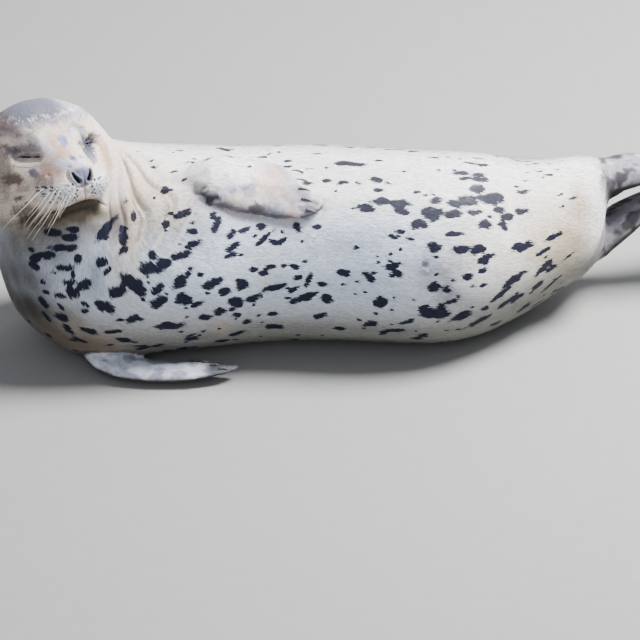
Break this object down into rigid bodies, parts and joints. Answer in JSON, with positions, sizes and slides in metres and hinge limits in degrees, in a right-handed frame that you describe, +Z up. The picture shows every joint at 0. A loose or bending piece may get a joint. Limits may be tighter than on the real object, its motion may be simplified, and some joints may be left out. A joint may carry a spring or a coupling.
{
  "type": "harbor seal",
  "caption": "Life-size young harbor seal resting on its side, with its head raised and turned, folded fore flippers and lifted hind flippers.",
  "frame": {"origin": "on the floor, under the middle of the model's bounding box", "axes": "+X from the head to the hind flippers, -Y the way the belly faces, +Z up"},
  "size_m": [0.9282, 0.3506, 0.3184],
  "materials": {
    "coat": "short flat fur, cream with dark spots",
    "nose": "bare, damp, blue-grey skin",
    "eye": "wet and black",
    "flipper_skin": "thinly furred, pinkish grey, mottled",
    "claw": "dark horn"
  },
  "bodies": {
    "root": {"head": "coat", "lower_jaw": "coat", "neck": "coat", "chest": "coat", "belly": "coat", "hips": "coat", "tail": "coat", "nose": "nose", "eye_left": "eye", "eye_right": "eye", "fore_flipper_left": "flipper_skin", "fore_flipper_right": "flipper_skin", "hind_flipper_left": "flipper_skin", "hind_flipper_right": "flipper_skin", "fore_flipper_left_claw_1": "claw", "fore_flipper_left_claw_2": "claw", "fore_flipper_left_claw_3": "claw", "fore_flipper_left_claw_4": "claw", "fore_flipper_left_claw_5": "claw", "fore_flipper_right_claw_1": "claw", "fore_flipper_right_claw_2": "claw", "fore_flipper_right_claw_3": "claw", "fore_flipper_right_claw_4": "claw", "fore_flipper_right_claw_5": "claw", "hind_flipper_left_claw_1": "claw", "hind_flipper_left_claw_2": "claw", "hind_flipper_left_claw_3": "claw", "hind_flipper_left_claw_4": "claw", "hind_flipper_left_claw_5": "claw", "hind_flipper_right_claw_1": "claw", "hind_flipper_right_claw_2": "claw", "hind_flipper_right_claw_3": "claw", "hind_flipper_right_claw_4": "claw", "hind_flipper_right_claw_5": "claw"}
  },
  "joints": []
}
